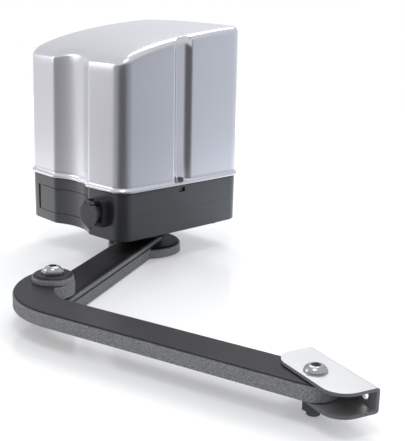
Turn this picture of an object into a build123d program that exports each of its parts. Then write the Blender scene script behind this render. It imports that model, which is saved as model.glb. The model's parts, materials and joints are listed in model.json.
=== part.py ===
from build123d import *

import math
import os

# Articulated arm gate opener: housing with gearmotor, straight arm, curved arm and gate bracket.
# Frame: origin at the centre of the wall fixing holes in the rear face, X to the right seen from
# the front, the wall behind the plane Y = 0 and the front towards -Y, Z up. Millimetres.

# Housing, as seen from above
UNIT_W = 195.4
UNIT_D = 209.0
SIDE_BOW = 1.6
CORNER_R = 18.0
CREASE_X = 35.0
CREASE_R = 12.0
SCOOP_DEPTH = 10.0
PANEL_TURN = 3.2

# Base casting
BASE_H = 60.0
BASE_WALL = 5.0
BASE_FLOOR = 5.0
BASE_DRAFT = 0.6
PARTING_Z = 0.5

# Cover
COVER_WALL = 3.0
COVER_DRAFT = 0.5
COVER_LIP = 3.0
COVER_LIP_T = 2.6
COVER_LIP_SETBACK = 1.0
ROOF_FRONT_Z = 188.0
ROOF_MID_Z = 208.5
ROOF_REAR_Z = 223.0
ROOF_CROWN = 7.0
ROOF_EDGE_R = 8.0
GROOVE_W = 20.0
GROOVE_DEPTH = 4.0
GROOVE_Y = -107.0
COVER_SCREW_Z = 37.0
GASKET_T = 1.6

# Output shaft, boss and bearings
SHAFT_X = 34.5
SHAFT_FROM_FRONT = 94.0
SHAFT_Y = SHAFT_FROM_FRONT - UNIT_D
SHAFT_R = 12.5
JOURNAL_R = 10.0
BOSS_TOP_R = 53.0
BOSS_LOW_R = 28.0
BOSS_H = 15.0
LOWER_BEARING_OD = 47.0
LOWER_BEARING_T = 12.0
SEAL_OD = 40.0
SEAL_T = 6.0
UPPER_BEARING_OD = 32.0
UPPER_BEARING_T = 7.0

# Gear train
GEAR_MODULE = 2.5
OUTPUT_TEETH = 36
PINION_TEETH = 12
GEAR_T = 14.0
LAY_ANGLE = 160.0
WHEEL_MODULE = 1.5
WHEEL_TEETH = 36
WHEEL_T = 10.0
WORM_STARTS = 2
WORM_R = 8.0
WORM_Z = 63.0
BACKLASH = 0.35
RUN_GAP = 0.05
LAY_R = 7.0
GEAR_SCREW_R = 1.9
GEAR_SCREW_EDGE = 3.2
GEAR_SCREW_X = 11.5

# Motor
MOTOR_R = 31.0
MOTOR_FRONT_GAP = 3.0
MOTOR_CAP_L = 12.0
ROTOR_R = 4.0

# Straight arm
ARM_LEN = 261.0
ARM_REST = -62.8
ARM_W = 45.0
ARM_LEDGE = 2.0
ARM_FLANGE_T = 13.0
ARM_H = 20.0
ARM_ROUND = 6.0
HUB_R = 48.0
HUB_ROUND = 5.0
FLOOR_Z = -67.0
ARM_FLOOR_GAP = 1.0

# Curved arm
CURVE_LEN = 340.0
CURVE_OFFSET = 61.0
CURVE_HEADING = 13.4
CURVE_W = 43.0
CURVE_T = 15.0
CURVE_R = 94.0
CURVE_CX = 60.0
CURVE_EDGE = 3.0
HEAD_R = 28.0
EYE_R = 22.5
EYE_H = 22.5
EYE_ROUND = 5.0
ARM_GAP = 1.0

# Bolts and bushes
BOLT_R = 6.0
BOLT_HEAD_R = 10.5
BOLT_HEAD_H = 5.8
SOCKET_AF = 8.0
NUT_AF = 18.0
NUT_H = 10.0
THIN_NUT_H = 6.0
WASHER_R = 12.0
WASHER_T = 1.6
BUSH_WALL = 2.0
BUSH_FLANGE_R = 11.6
BUSH_FLANGE_T = 0.7

# Gate bracket
BRACKET_L = 94.0
BRACKET_SHIFT = 2.0
BRACKET_W = 43.0
BRACKET_T = 3.0
BRACKET_CORNER_R = 20.0
BRACKET_AXIS_Y = 28.8
BRACKET_TURN = -16.0
GATE_HOLE_R = 4.5
GATE_HOLE_SPACING = 68.0

# Release lever and lock
LEVER_X0 = -74.0
LEVER_X1 = 43.0
LEVER_Z0 = -16.0
LEVER_Z1 = 16.0
LEVER_T = 7.0
LEVER_GAP = 0.7
LEVER_PIN_R = 2.5
LOCK_X = 60.0
LOCK_Z = 4.0
LOCK_W = 29.0
LOCK_H = 32.0
LOCK_PROUD = 10.0
BARREL_R = 12.5
BARREL_L = 7.0
CAP_R = 16.2
CAP_T = 2.6
CAP_GAP = 0.4
HINGE_R = 2.2
HINGE_PIN_R = 1.0
HINGE_W = 8.0
EAR_W = 3.0
LOCK_TAIL_R = 8.0
LOCK_TAIL_L = 22.0

# Wall fixing and cable inlet
WALL_SPACING_X = 120.0
WALL_SPACING_Z = 30.0
WALL_HOLE_R = 3.4
WALL_HOLE_DEPTH = 16.0
GLAND_X = 76.0
GLAND_Y = -36.0
GLAND_BORE_R = 5.0
GLAND_NUT_R = 10.0
GLAND_HEAD_H = 4.0

# Values that follow
BASE_Z0 = -BASE_H / 2
BASE_Z1 = BASE_H / 2
GASKET_Z = BASE_Z1
COVER_Z0 = BASE_Z1
HALF_W = UNIT_W / 2
BOSS_Z = BASE_Z0 - BOSS_H
ARM_Z0 = FLOOR_Z + ARM_FLOOR_GAP
ARM_Z1 = ARM_Z0 + ARM_H
HUB_SCREW_H = 3.0
HUB_SHAFT_Z = ARM_Z0 + 6.0
CURVE_Z0 = ARM_Z1 + ARM_GAP
CURVE_Z1 = CURVE_Z0 + CURVE_T
EYE_Z1 = CURVE_Z0 + EYE_H
ELBOW = (SHAFT_X + ARM_LEN * math.cos(math.radians(ARM_REST)),
         SHAFT_Y + ARM_LEN * math.sin(math.radians(ARM_REST)))
HEADING = math.radians(CURVE_HEADING)
GATE = (ELBOW[0] + CURVE_LEN * math.cos(HEADING) + CURVE_OFFSET * math.sin(HEADING),
        ELBOW[1] + CURVE_LEN * math.sin(HEADING) - CURVE_OFFSET * math.cos(HEADING))
GEAR_CENTRES = GEAR_MODULE * (OUTPUT_TEETH + PINION_TEETH) / 2
LAY = (SHAFT_X + GEAR_CENTRES * math.cos(math.radians(LAY_ANGLE)),
       SHAFT_Y + GEAR_CENTRES * math.sin(math.radians(LAY_ANGLE)))
WHEEL_R = WHEEL_MODULE * WHEEL_TEETH / 2
WORM_X = LAY[0] - WHEEL_R - WORM_R
GEAR_Z0 = BASE_Z0 + BASE_FLOOR + 4.0
GEAR_Z1 = GEAR_Z0 + GEAR_T
PLATE_Z0 = GEAR_Z1 + 6.0
PLATE_Z1 = PLATE_Z0 + 8.0

os.makedirs("parts", exist_ok=True)


def save(name, *solids):
    shape = solids[0] if len(solids) == 1 else Compound(children=list(solids))
    export_step(shape, f"parts/{name}.step")


def cyl(r, z0, z1, x=0.0, y=0.0):
    return Pos(x, y, (z0 + z1) / 2) * Cylinder(r, z1 - z0)


def tube(r_out, r_in, z0, z1, x=0.0, y=0.0):
    return cyl(r_out, z0, z1, x, y) - cyl(r_in, z0 - 1, z1 + 1, x, y)


def block(x0, x1, y0, y1, z0, z1):
    size = (abs(x1 - x0), abs(y1 - y0), abs(z1 - z0))
    return Pos((x0 + x1) / 2, (y0 + y1) / 2, (z0 + z1) / 2) * Box(*size)


def cyl_y(r, y0, y1, x, z):
    return Pos(x, (y0 + y1) / 2, z) * Rot(90, 0, 0) * Cylinder(r, abs(y1 - y0))


def cyl_x(r, x0, x1, y, z):
    return Pos((x0 + x1) / 2, y, z) * Rot(0, 90, 0) * Cylinder(r, abs(x1 - x0))


def front_y(x, off=0.0):
    """Y of the two flat front panels at x, moved out by off."""
    return -UNIT_D - off + (abs(x) - CREASE_X) * math.tan(math.radians(PANEL_TURN))


def plan(off, z, rear=0.0):
    """Outline of the housing as a face at height z, moved out by off, its flat back at rear."""
    half = HALF_W + off
    side = half - SIDE_BOW
    x0, y0 = CREASE_X, front_y(CREASE_X, off)
    corner_y = front_y(side, off)
    edges = Line((x0, y0, z), (side, corner_y, z))
    edges += ThreePointArc((side, corner_y, z), (half, (corner_y + rear) / 2, z), (side, rear, z))
    edges += Line((side, rear, z), (-side, rear, z))
    edges += ThreePointArc((-side, rear, z), (-half, (corner_y + rear) / 2, z), (-side, corner_y, z))
    edges += Line((-side, corner_y, z), (-x0, y0, z))
    edges += ThreePointArc((-x0, y0, z), (0, y0 + SCOOP_DEPTH, z), (x0, y0, z))
    face = make_face(edges)
    creases = [v for v in face.vertices() if abs(v.X) < CREASE_X + 1]
    face = fillet(creases, max(CREASE_R + off, 1.0))
    corners = [v for v in face.vertices() if abs(v.X) > side - 1]
    return fillet(corners, max(CORNER_R + off, 1.0))


def prism(off0, z0, off1, z1, rear=0.0):
    return loft([plan(off0, z0, rear), plan(off1, z1, rear)], ruled=True)


def base_off(z):
    return -(BASE_Z1 - z) * math.tan(math.radians(BASE_DRAFT))


def cover_off(z):
    return -(z - COVER_Z0) * math.tan(math.radians(COVER_DRAFT))


def roof_z(y):
    """Height of the roof's side edge at y, a parabola through its three given heights."""
    slope0 = (ROOF_MID_Z - ROOF_FRONT_Z) / (UNIT_D + GROOVE_Y)
    slope1 = (ROOF_REAR_Z - ROOF_MID_Z) / -GROOVE_Y
    bend = (slope1 - slope0) / UNIT_D
    return ROOF_FRONT_Z + slope0 * (y + UNIT_D) + bend * (y + UNIT_D) * (y - GROOVE_Y)


def roof(drop):
    """Solid under the arched roof, lowered by drop."""
    sections = []
    x = HALF_W + 10
    for y in (12.0, GROOVE_Y, -UNIT_D - 12.0):
        z = roof_z(y) - drop
        crown = ROOF_CROWN * (y + UNIT_D + 30) / (UNIT_D + 30)
        wire = Wire([
            Edge.make_line((-x, y, -60), (x, y, -60)),
            Edge.make_line((x, y, -60), (x, y, z)),
            Edge.make_three_point_arc((x, y, z), (0, y, z + crown), (-x, y, z)),
            Edge.make_line((-x, y, z), (-x, y, -60)),
        ])
        sections.append(Face(wire))
    return loft(sections)


def domed(off, top, edge_r, z0, rear):
    """Tapered column of the housing under the roof, its top edges rounded."""
    body = prism(off, z0, cover_off(top) + off, top, rear) & roof(-off)
    rim = [e for e in body.edges() if e.bounding_box().min.Z > ROOF_FRONT_Z - 12]
    return fillet(rim, edge_r)


def groove(side, depth, z0, z1):
    """Tapered vertical groove in one side of the cover."""
    half = HALF_W
    pts = [(half + 5, GROOVE_Y - GROOVE_W / 2 - 5), (half - depth, GROOVE_Y - GROOVE_W * 0.3),
           (half - depth, GROOVE_Y + GROOVE_W * 0.3), (half + 5, GROOVE_Y + GROOVE_W / 2 + 5)]
    face = make_face(Polyline(*[(side * x, y, z0) for x, y in pts], close=True))
    return extrude(face, amount=z1 - z0, dir=(0, 0, 1))


def cover_shell():
    top = ROOF_REAR_Z + 30
    outer = domed(0, top, ROOF_EDGE_R, COVER_Z0 + GASKET_T, 0)
    inner = domed(-COVER_WALL, top, ROOF_EDGE_R - COVER_WALL, COVER_Z0 - 5, -COVER_WALL)
    for side in (-1, 1):
        outer -= groove(side, GROOVE_DEPTH, COVER_Z0 + COVER_LIP_T + 4, top + 10)
        inner -= groove(side, GROOVE_DEPTH + COVER_WALL, COVER_Z0 - 10, top + 10)
    lip_z0 = COVER_Z0 + GASKET_T
    lip = prism(COVER_LIP, lip_z0, COVER_LIP, lip_z0 + COVER_LIP_T, -COVER_LIP_SETBACK)
    shell = outer + lip - inner
    for side in (-1, 1):
        shell -= cyl_x(2.2, side * (HALF_W - 20), side * (HALF_W + 5), GROOVE_Y, COVER_SCREW_Z)
        shell -= cyl_x(4.6, side * (HALF_W - GROOVE_DEPTH), side * (HALF_W + 5), GROOVE_Y, COVER_SCREW_Z)
    return shell


def gear_face(module, teeth, z, phase=0.0, backlash=BACKLASH):
    """Spur gear outline with straight-segment involute flanks."""
    r_pitch = module * teeth / 2
    r_base = r_pitch * math.cos(math.radians(20))
    r_tip = r_pitch + module * 0.95
    r_root = r_pitch - module * 1.25
    inv = math.tan(math.radians(20)) - math.radians(20)
    half_pitch = (math.pi * module / 2 - backlash) / (2 * r_pitch)
    flank = []
    for k in range(4):
        r = max(r_base, r_root) + (r_tip - max(r_base, r_root)) * k / 3
        a = math.acos(min(1.0, r_base / r))
        flank.append((r, half_pitch + inv - (math.tan(a) - a)))
    pts = []
    for i in range(teeth):
        c = phase + 2 * math.pi * i / teeth
        outline = [(r_root, -flank[0][1])] + [(r, -w) for r, w in flank]
        outline += [(r, w) for r, w in reversed(flank)] + [(r_root, flank[0][1])]
        pts += [(r * math.cos(c + w), r * math.sin(c + w), z) for r, w in outline]
    return make_face(Polyline(*pts, close=True))


def gear(module, teeth, z0, z1, phase=0.0):
    return extrude(gear_face(module, teeth, z0, phase), amount=z1 - z0, dir=(0, 0, 1))


def hexagon(af, z0, z1, x=0.0, y=0.0):
    face = RegularPolygon(af / 2, 6, major_radius=False)
    return Pos(x, y, z0) * extrude(face, amount=z1 - z0)


def button_bolt(x, y, seat, length):
    """Socket button-head bolt standing on the height seat, shank pointing down."""
    rim, flat = 0.8, BOLT_HEAD_R * 0.52
    profile = Line((0, 0), (BOLT_HEAD_R, 0))
    profile += Line((BOLT_HEAD_R, 0), (BOLT_HEAD_R, rim))
    profile += ThreePointArc((BOLT_HEAD_R, rim), (BOLT_HEAD_R * 0.86, BOLT_HEAD_H * 0.62), (flat, BOLT_HEAD_H))
    profile += Line((flat, BOLT_HEAD_H), (0, BOLT_HEAD_H))
    profile += Line((0, BOLT_HEAD_H), (0, 0))
    head = Pos(0, 0, seat) * revolve(Plane.XZ * make_face(profile), Axis.Z)
    bolt = head + cyl(BOLT_R, seat - length, seat + 1)
    bolt -= hexagon(SOCKET_AF, seat + BOLT_HEAD_H - 4.0, seat + BOLT_HEAD_H + 1)
    return Pos(x, y, 0) * bolt


def nut(x, y, z0, height):
    body = hexagon(NUT_AF, z0, z0 + height)
    crown = Pos(0, 0, z0 + height / 2) * Cylinder(NUT_AF * 0.56, height)
    return Pos(x, y, 0) * ((body & crown) - cyl(BOLT_R, z0 - 1, z0 + height + 1))


def bearing(x, y, r_in, r_out, z0, z1):
    """Ball bearing as one ring with a recessed shield line on both faces."""
    ring = tube(r_out, r_in, z0, z1)
    mid = (r_in + r_out) / 2
    gap = tube(mid + 2.0, mid - 2.0, z1 - 0.8, z1 + 1) + tube(mid + 2.0, mid - 2.0, z0 - 1, z0 + 0.8)
    return Pos(x, y, 0) * (ring - gap)


def base_housing():
    body = prism(base_off(BASE_Z0), BASE_Z0, 0, BASE_Z1)
    bottom = [e for e in body.edges() if abs(e.center().Z - BASE_Z0) < 0.1]
    body = fillet(bottom, 1.5)
    inner = prism(-BASE_WALL, BASE_Z0 + BASE_FLOOR, -BASE_WALL, BASE_Z1 + 1, -BASE_WALL)
    body -= inner
    cone = Pos(SHAFT_X, SHAFT_Y, (BASE_Z0 + BOSS_Z) / 2) * Cone(BOSS_LOW_R, BOSS_TOP_R, BOSS_H)
    body += cone
    # gear chamber walls up to the cover plate
    wall = cyl(GEAR_MODULE * OUTPUT_TEETH / 2 + 10, BASE_Z0 + 2, PLATE_Z0, SHAFT_X, SHAFT_Y)
    wall += cyl(GEAR_MODULE * PINION_TEETH / 2 + 12, BASE_Z0 + 2, PLATE_Z0, LAY[0], LAY[1])
    wall &= prism(-BASE_WALL + 0.5, BASE_Z0 + 1, -BASE_WALL + 0.5, BASE_Z1)
    body += wall
    body -= cyl(GEAR_MODULE * OUTPUT_TEETH / 2 + 5, GEAR_Z0 - 2, PLATE_Z0 + 1, SHAFT_X, SHAFT_Y)
    body -= cyl(GEAR_MODULE * PINION_TEETH / 2 + 5, GEAR_Z0 - 2, PLATE_Z0 + 1, LAY[0], LAY[1])
    # bores: lower bearing, seal and shaft
    body -= cyl(LOWER_BEARING_OD / 2, LOWER_Z0, GEAR_Z0, SHAFT_X, SHAFT_Y)
    body -= cyl(SHAFT_R + 3, BOSS_Z - 1, GEAR_Z0, SHAFT_X, SHAFT_Y)
    body -= cyl(SEAL_OD / 2, BOSS_Z - 1, BOSS_Z + SEAL_T, SHAFT_X, SHAFT_Y)
    body -= cyl(LAY_R + RUN_GAP, BASE_Z0 + 2, GEAR_Z0, LAY[0], LAY[1])
    # wall fixing bosses at the rear, threaded
    for x in (-WALL_SPACING_X / 2, WALL_SPACING_X / 2):
        for z in (-WALL_SPACING_Z / 2, WALL_SPACING_Z / 2):
            boss = cyl_y(8.0, -WALL_HOLE_DEPTH - 4, -1, x, z)
            body += boss
            body -= cyl_y(WALL_HOLE_R, -WALL_HOLE_DEPTH, 1, x, z)
    # upstands that take the cover screws
    post_x = HALF_W - GROOVE_DEPTH - COVER_WALL - 0.4
    for side in (-1, 1):
        post = block(side * (post_x - 8), side * post_x, GROOVE_Y - 7, GROOVE_Y + 7, PLATE_Z1 + 1, COVER_SCREW_Z + 6)
        tie = block(side * (post_x - 8), side * HALF_W, GROOVE_Y - 7, GROOVE_Y + 7, PLATE_Z1 + 1, BASE_Z1 - 8)
        body += post + (tie & prism(-1, BASE_Z0 + 1, -1, BASE_Z1))
        body -= cyl_x(1.7, side * (post_x - 9), side * (post_x + 1), GROOVE_Y, COVER_SCREW_Z)
    # notch under the cover edge on the right side, and its twin
    for side in (-1, 1):
        body -= block(side * (HALF_W - 3), side * (HALF_W + 3), GROOVE_Y - 5, GROOVE_Y + 5, BASE_Z1 - 8, BASE_Z1 - 2)
    # parting line of the casting, clear of the lever
    line = prism(1, PARTING_Z - 0.3, 1, PARTING_Z + 0.3, 1) - prism(-0.5, PARTING_Z - 1, -0.5, PARTING_Z + 1)
    body -= line - block(-HALF_W - 5, LOCK_X, -UNIT_D - 5, -UNIT_D / 2, PARTING_Z - 1, PARTING_Z + 1)
    # passage for the lock
    body -= cyl_y(LOCK_TAIL_R + 0.1, -UNIT_D - 1, -UNIT_D + LOCK_TAIL_L + 10, LOCK_X, LOCK_Z)
    # cable inlet
    body -= cyl(GLAND_BORE_R + 2.5, BASE_Z0 - 1, BASE_Z0 + BASE_FLOOR + 1, GLAND_X, GLAND_Y)
    return body


def lever_band(gap, x0, x1, z0, z1, depth):
    """Skin of the front of the base between two heights, as thick as depth."""
    outer = prism(base_off(z0), z0, base_off(z1), z1)
    inner = prism(base_off(z0) - depth, z0 - 1, base_off(z1) - depth, z1 + 1)
    window = block(x0, x1, -UNIT_D - 20, -UNIT_D * 0.75, z0, z1)
    return (outer - inner) & window


LOWER_Z0 = BOSS_Z + SEAL_T
LOWER_Z1 = LOWER_Z0 + LOWER_BEARING_T


def build_housing():
    base = base_housing()
    # recess for the lever and the pocket behind the lock
    recess = prism(3, LEVER_Z0 - LEVER_GAP, 3, LEVER_Z1 + LEVER_GAP)
    recess -= prism(base_off(0) - LEVER_T - LEVER_GAP, LEVER_Z0 - 5, base_off(0) - LEVER_T - LEVER_GAP, LEVER_Z1 + 5)
    recess &= block(LEVER_X0 - LEVER_GAP, LEVER_X1 + LEVER_GAP, -UNIT_D - 20, -UNIT_D * 0.75,
                    LEVER_Z0 - LEVER_GAP, LEVER_Z1 + LEVER_GAP)
    back = prism(base_off(0) - 2, LEVER_Z0 - 4, base_off(0) - 2, LEVER_Z1 + 4)
    back -= prism(base_off(0) - LEVER_T - LEVER_GAP - 4, LEVER_Z0 - 6, base_off(0) - LEVER_T - LEVER_GAP - 4, LEVER_Z1 + 6)
    back &= block(LEVER_X0 - 6, LEVER_X1 + 6, -UNIT_D - 20, -UNIT_D * 0.75, LEVER_Z0 - 4, LEVER_Z1 + 4)
    base += back
    base -= recess
    pin_y = front_y(LEVER_PIN_X) + LEVER_T / 2 + 0.6
    base -= cyl(LEVER_PIN_R, LEVER_Z0 - 8, LEVER_Z1 + 8, LEVER_PIN_X, pin_y)
    save("base_housing", base)

    lever = lever_band(0, LEVER_X0 + 6, LEVER_X1, LEVER_Z0, LEVER_Z1, LEVER_T)
    lever -= cyl(8, LEVER_Z0 - 1, LEVER_Z1 + 1, LEVER_PIN_X - 5.5, pin_y)
    lever += cyl(LEVER_T / 2, LEVER_Z0, LEVER_Z1, LEVER_PIN_X, pin_y)
    lever += block(LEVER_PIN_X, LEVER_X0 + 9, pin_y - LEVER_T / 2, pin_y + LEVER_T / 2, LEVER_Z0, LEVER_Z1)
    lever -= cyl(LEVER_PIN_R + RUN_GAP, LEVER_Z0 - 1, LEVER_Z1 + 1, LEVER_PIN_X, pin_y)
    save("release_lever", lever)
    save("lever_pin", cyl(LEVER_PIN_R, LEVER_Z0 - 8, LEVER_Z1 + 8, LEVER_PIN_X, pin_y))


LEVER_PIN_X = LEVER_X0 + LEVER_T / 2 + 0.2


def build_cover():
    save("cover_shell", cover_shell())
    ring = prism(-0.5, GASKET_Z, -0.5, GASKET_Z + GASKET_T, -0.5)
    ring -= prism(-3.0, GASKET_Z - 1, -3.0, GASKET_Z + GASKET_T + 1, -3.0)
    save("cover_gasket", ring)
    screws = []
    for side in (-1, 1):
        seat = HALF_W - GROOVE_DEPTH
        x0, x1 = side * (seat - 18), side * seat
        body = cyl_x(1.7, min(x0, x1), max(x0, x1), GROOVE_Y, COVER_SCREW_Z)
        x2 = side * (seat + 2.4)
        body += cyl_x(3.6, min(x1, x2), max(x1, x2), GROOVE_Y, COVER_SCREW_Z)
        screws.append(body)
    save("cover_screws", *screws)


def build_lock():
    front = front_y(LOCK_X)
    face = front - LOCK_PROUD
    nose = face - BARREL_L
    body = block(LOCK_X - LOCK_W / 2, LOCK_X + LOCK_W / 2, face, front + 3,
                 LOCK_Z - LOCK_H / 2, LOCK_Z + LOCK_H / 2)
    body = fillet(body.edges().filter_by(Axis.Y), 3.0)
    body -= prism(base_off(BASE_Z0), BASE_Z0, 0, BASE_Z1)
    body += cyl_y(BARREL_R, nose, face + 1, LOCK_X, LOCK_Z)
    body += cyl_y(LOCK_TAIL_R, front - 2, front + LOCK_TAIL_L, LOCK_X, LOCK_Z)
    # ears for the cap's hinge pin
    hinge_y = nose - CAP_GAP - CAP_T / 2
    hinge_z = LOCK_Z + CAP_R - 1.2
    ear_x = HINGE_W / 2 + 0.3
    for side in (-1, 1):
        x0, x1 = LOCK_X + side * ear_x, LOCK_X + side * (ear_x + EAR_W)
        body += block(x0, x1, hinge_y, face + 1, hinge_z - HINGE_R, hinge_z + HINGE_R)
        body += cyl_x(HINGE_R, x0, x1, hinge_y, hinge_z)
    body -= cyl_x(HINGE_PIN_R, LOCK_X - 12, LOCK_X + 12, hinge_y, hinge_z)
    body -= cyl_y(5.0 + RUN_GAP, nose - 1, face + 8, LOCK_X, LOCK_Z)
    save("lock_housing", body)
    pin_half = ear_x + EAR_W
    save("lock_cap_pin", cyl_x(HINGE_PIN_R, LOCK_X - pin_half, LOCK_X + pin_half, hinge_y, hinge_z))
    plug = cyl_y(5.0, nose + 0.3, face + 7.5, LOCK_X, LOCK_Z)
    plug -= block(LOCK_X - 0.6, LOCK_X + 0.6, nose, nose + 5, LOCK_Z - 4, LOCK_Z + 4)
    save("key_plug", plug)
    y0, y1 = hinge_y - CAP_T / 2, hinge_y + CAP_T / 2
    cap = cyl_y(CAP_R, y0, y1, LOCK_X, LOCK_Z)
    cap -= block(LOCK_X - CAP_R, LOCK_X + CAP_R, y0 - 1, y1 + 1, hinge_z - HINGE_R - 0.5, LOCK_Z + CAP_R + 1)
    cap += block(LOCK_X - HINGE_W / 2, LOCK_X + HINGE_W / 2, y0, y1, hinge_z - HINGE_R - 1, hinge_z)
    cap += cyl_x(HINGE_R, LOCK_X - HINGE_W / 2, LOCK_X + HINGE_W / 2, hinge_y, hinge_z)
    cap -= cyl_x(HINGE_PIN_R + RUN_GAP, LOCK_X - HINGE_W, LOCK_X + HINGE_W, hinge_y, hinge_z)
    cap += block(LOCK_X - 2.5, LOCK_X + 2.5, y0, y1, LOCK_Z - CAP_R - 2.2, LOCK_Z - CAP_R + 2)
    save("lock_cap", cap)
    print("cap hinge", hinge_y, hinge_z)


def build_output():
    shaft = cyl(SHAFT_R, HUB_SHAFT_Z, GEAR_Z1 + 2)
    shaft += cyl(JOURNAL_R, GEAR_Z1 + 1, PLATE_Z1 + 16)
    low = key_block(HUB_SHAFT_Z + 1, ARM_Z1 - 0.2, ARM_REST)
    high = key_block(GEAR_Z0, GEAR_Z1)
    shaft -= low + high
    save("output_shaft", Pos(SHAFT_X, SHAFT_Y, 0) * shaft)
    save("shaft_keys", Pos(SHAFT_X, SHAFT_Y, 0) * low, Pos(SHAFT_X, SHAFT_Y, 0) * high)
    wheel = gear(GEAR_MODULE, OUTPUT_TEETH, GEAR_Z0, GEAR_Z1) - cyl(SHAFT_R, GEAR_Z0 - 1, GEAR_Z1 + 1)
    for i in range(6):
        a = math.radians(60 * i + 30)
        wheel -= cyl(7.0, GEAR_Z0 - 1, GEAR_Z1 + 1, 27 * math.cos(a), 27 * math.sin(a))
    wheel -= high
    save("output_gear", Pos(SHAFT_X, SHAFT_Y, 0) * wheel)
    save("lower_bearing", bearing(SHAFT_X, SHAFT_Y, SHAFT_R + RUN_GAP, LOWER_BEARING_OD / 2, LOWER_Z0, LOWER_Z1))
    save("oil_seal", Pos(SHAFT_X, SHAFT_Y, 0) * tube(SEAL_OD / 2, SHAFT_R + RUN_GAP, BOSS_Z, BOSS_Z + SEAL_T))
    save("upper_bearing", bearing(SHAFT_X, SHAFT_Y, JOURNAL_R + RUN_GAP, UPPER_BEARING_OD / 2,
                                  PLATE_Z0, PLATE_Z0 + UPPER_BEARING_T))
    cams = []
    for i, turn in enumerate((20, 200)):
        z = PLATE_Z1 + 2 + i * 6
        cam = tube(15, JOURNAL_R, z, z + 5) + (Rot(0, 0, turn) * block(12, 18, -3, 3, z, z + 5))
        cams.append(Pos(SHAFT_X, SHAFT_Y, 0) * (cam - cyl(JOURNAL_R, z - 1, z + 6)))
    save("limit_cams", *cams)


def build_lay():
    phase = math.pi / PINION_TEETH + math.radians(LAY_ANGLE) + math.pi
    offset = (math.radians(LAY_ANGLE) % (2 * math.pi / OUTPUT_TEETH)) * OUTPUT_TEETH / PINION_TEETH
    shaft = gear(GEAR_MODULE, PINION_TEETH, GEAR_Z0 - 0.5, GEAR_Z1 + 0.5, phase + offset)
    shaft += cyl(LAY_R, BASE_Z0 + 2.5, WORM_Z + WHEEL_T / 2 + 6)
    save("lay_shaft", Pos(LAY[0], LAY[1], 0) * shaft)
    wheel = gear(WHEEL_MODULE, WHEEL_TEETH, WORM_Z - WHEEL_T / 2, WORM_Z + WHEEL_T / 2, math.pi / WHEEL_TEETH)
    wheel -= cyl(LAY_R, WORM_Z - WHEEL_T, WORM_Z + WHEEL_T)
    save("worm_wheel", Pos(LAY[0], LAY[1], 0) * wheel)


def build_plate():
    plate = cyl(GEAR_MODULE * OUTPUT_TEETH / 2 + 9, PLATE_Z0, PLATE_Z1, SHAFT_X, SHAFT_Y)
    plate += cyl(GEAR_MODULE * PINION_TEETH / 2 + 11, PLATE_Z0, PLATE_Z1, LAY[0], LAY[1])
    plate += block(HOUSE_X0, HOUSE_X1, HOUSE_Y0, HOUSE_Y1, PLATE_Z0 + 0.2, PLATE_Z1)
    plate &= prism(-BASE_WALL - 0.3, PLATE_Z0, -BASE_WALL - 0.3, PLATE_Z1)
    plate -= cyl(UPPER_BEARING_OD / 2, PLATE_Z0 - 1, PLATE_Z0 + UPPER_BEARING_T, SHAFT_X, SHAFT_Y)
    plate -= cyl(JOURNAL_R + 1.5, PLATE_Z0 - 1, PLATE_Z1 + 1, SHAFT_X, SHAFT_Y)
    plate -= cyl(LAY_R + RUN_GAP, PLATE_Z0 - 1, PLATE_Z1 + 1, LAY[0], LAY[1])
    z0, z1 = PLATE_Z1, WORM_Z + WORM_R + 9
    house = block(HOUSE_X0, HOUSE_X1, HOUSE_Y0, HOUSE_Y1, z0, z1)
    house = fillet(house.edges().filter_by(Axis.Z), 5.0)
    house -= cyl(WHEEL_R + 3.5, WORM_Z - WHEEL_T / 2 - 2, z1 - 4, LAY[0], LAY[1])
    house -= cyl(LAY_R + RUN_GAP, z0 - 1, z1 - 2, LAY[0], LAY[1])
    house -= cyl_y(WORM_R + 3.5, HOUSE_Y0 + 6, HOUSE_Y1 - 6, WORM_X, WORM_Z)
    house -= cyl_y(ROTOR_R + RUN_GAP, HOUSE_Y0 - 1, HOUSE_Y1 - 3, WORM_X, WORM_Z)
    places = [(x, y) for x in (WORM_X - GEAR_SCREW_X, HOUSE_X1 - GEAR_SCREW_EDGE)
              for y in (HOUSE_Y0 + GEAR_SCREW_EDGE, HOUSE_Y1 - GEAR_SCREW_EDGE)]
    screws = []
    for x, y in places:
        house -= cyl(GEAR_SCREW_R, z0 - 1, z1 + 1, x, y)
        plate -= cyl(GEAR_SCREW_R, PLATE_Z0 + 1.5, PLATE_Z1 + 1, x, y)
        screw = cyl(GEAR_SCREW_R, PLATE_Z0 + 2, z1, x, y) + cyl(GEAR_SCREW_R * 1.6, z1, z1 + 2.4, x, y)
        screws.append(screw - Pos(x, y, 0) * hexagon(GEAR_SCREW_R * 1.4, z1 + 1, z1 + 3))
    save("gear_screws", *screws)
    save("gear_cover_plate", plate)
    save("worm_housing", house)


HOUSE_X0 = WORM_X - WORM_R - 8.0
HOUSE_X1 = LAY[0] + WHEEL_R + 8.0
HOUSE_Y0 = LAY[1] - WHEEL_R - 8.0
HOUSE_Y1 = LAY[1] + WHEEL_R + 8.0


def build_motor():
    y1 = HOUSE_Y0
    y0 = -UNIT_D + SCOOP_DEPTH + COVER_WALL + MOTOR_FRONT_GAP
    can = cyl_y(MOTOR_R, y0 + MOTOR_CAP_L, y1, WORM_X, WORM_Z)
    can -= cyl_y(ROTOR_R + 1, y0, y1 + 1, WORM_X, WORM_Z)
    save("motor_can", can)
    cap = cyl_y(MOTOR_R - 2, y0, y0 + MOTOR_CAP_L, WORM_X, WORM_Z)
    cap -= cyl_y(ROTOR_R + 1, y0 + 3, y1, WORM_X, WORM_Z)
    save("motor_end_cap", cap)
    worm = cyl_y(ROTOR_R, y0 + 4, HOUSE_Y1 - 3.5, WORM_X, WORM_Z)
    worm += cyl_y(WORM_R - WHEEL_MODULE * 1.3, HOUSE_Y0 + 7, HOUSE_Y1 - 7, WORM_X, WORM_Z)
    save("worm_shaft", worm)


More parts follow.
